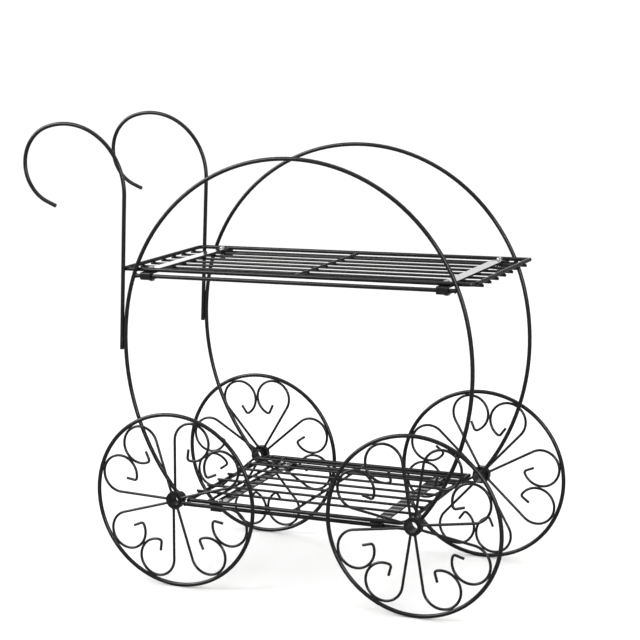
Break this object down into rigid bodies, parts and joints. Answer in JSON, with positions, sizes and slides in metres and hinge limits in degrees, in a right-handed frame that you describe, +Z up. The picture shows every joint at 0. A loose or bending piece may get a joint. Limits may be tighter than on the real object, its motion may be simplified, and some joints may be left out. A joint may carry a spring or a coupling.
{
  "type": "plant trolley",
  "caption": "Wire plant trolley with two slatted shelves between round arches, hooked push handles and scroll-spoked wheels that spin.",
  "frame": {"origin": "on the floor under the middle of the overall bounding box", "axes": "+X is the front, away from the handles; +Y is the left side; +Z is up"},
  "size_m": [0.761, 0.2974, 0.6906],
  "materials": {
    "black_powder_coat": "semi-gloss black powder coat on mild steel",
    "zinc_plate": "bright zinc plating, slightly dull"
  },
  "bodies": {
    "frame": {"arch_left": "black_powder_coat", "arch_right": "black_powder_coat", "axle_caps": "black_powder_coat", "axle_tube_front_left": "black_powder_coat", "axle_tube_front_right": "black_powder_coat", "axle_tube_rear_left": "black_powder_coat", "axle_tube_rear_right": "black_powder_coat", "handle_left": "black_powder_coat", "handle_right": "black_powder_coat", "lower_bolts": "zinc_plate", "lower_clips": "black_powder_coat", "lower_cross_rods": "black_powder_coat", "lower_rail_left": "black_powder_coat", "lower_rail_right": "black_powder_coat", "lower_rim_rod_front": "black_powder_coat", "lower_rim_rod_rear": "black_powder_coat", "lower_strap_front": "black_powder_coat", "lower_strap_rear": "black_powder_coat", "lower_wire_1": "black_powder_coat", "lower_wire_2": "black_powder_coat", "lower_wire_3": "black_powder_coat", "lower_wire_4": "black_powder_coat", "lower_wire_5": "black_powder_coat", "lower_wire_6": "black_powder_coat", "lower_wire_7": "black_powder_coat", "nuts": "zinc_plate", "upper_bolts": "zinc_plate", "upper_clips": "black_powder_coat", "upper_cross_rods": "black_powder_coat", "upper_rail_left": "black_powder_coat", "upper_rail_right": "black_powder_coat", "upper_rim_rod_front": "black_powder_coat", "upper_rim_rod_rear": "black_powder_coat", "upper_strap_front": "black_powder_coat", "upper_strap_rear": "black_powder_coat", "upper_wire_1": "black_powder_coat", "upper_wire_2": "black_powder_coat", "upper_wire_3": "black_powder_coat", "upper_wire_4": "black_powder_coat", "upper_wire_5": "black_powder_coat", "upper_wire_6": "black_powder_coat", "upper_wire_7": "black_powder_coat"},
    "wheel_front_left": {"wheel_rim_front_left": "black_powder_coat", "wheel_hub_front_left": "black_powder_coat", "wheel_scrolls_front_left": "black_powder_coat"},
    "wheel_front_right": {"wheel_rim_front_right": "black_powder_coat", "wheel_hub_front_right": "black_powder_coat", "wheel_scrolls_front_right": "black_powder_coat"},
    "wheel_rear_left": {"wheel_rim_rear_left": "black_powder_coat", "wheel_hub_rear_left": "black_powder_coat", "wheel_scrolls_rear_left": "black_powder_coat"},
    "wheel_rear_right": {"wheel_rim_rear_right": "black_powder_coat", "wheel_hub_rear_right": "black_powder_coat", "wheel_scrolls_rear_right": "black_powder_coat"}
  },
  "joints": [
    {"name": "wheel_front_left_spin", "type": "hinge", "parent": "frame", "child": "wheel_front_left", "pos_m": [0.24751, 0.145, 0.133], "axis": [0, 1, 0], "continuous": true},
    {"name": "wheel_front_right_spin", "type": "hinge", "parent": "frame", "child": "wheel_front_right", "pos_m": [0.24751, -0.145, 0.133], "axis": [0, 1, 0], "continuous": true},
    {"name": "wheel_rear_left_spin", "type": "hinge", "parent": "frame", "child": "wheel_rear_left", "pos_m": [-0.13249, 0.145, 0.133], "axis": [0, 1, 0], "continuous": true},
    {"name": "wheel_rear_right_spin", "type": "hinge", "parent": "frame", "child": "wheel_rear_right", "pos_m": [-0.13249, -0.145, 0.133], "axis": [0, 1, 0], "continuous": true}
  ]
}
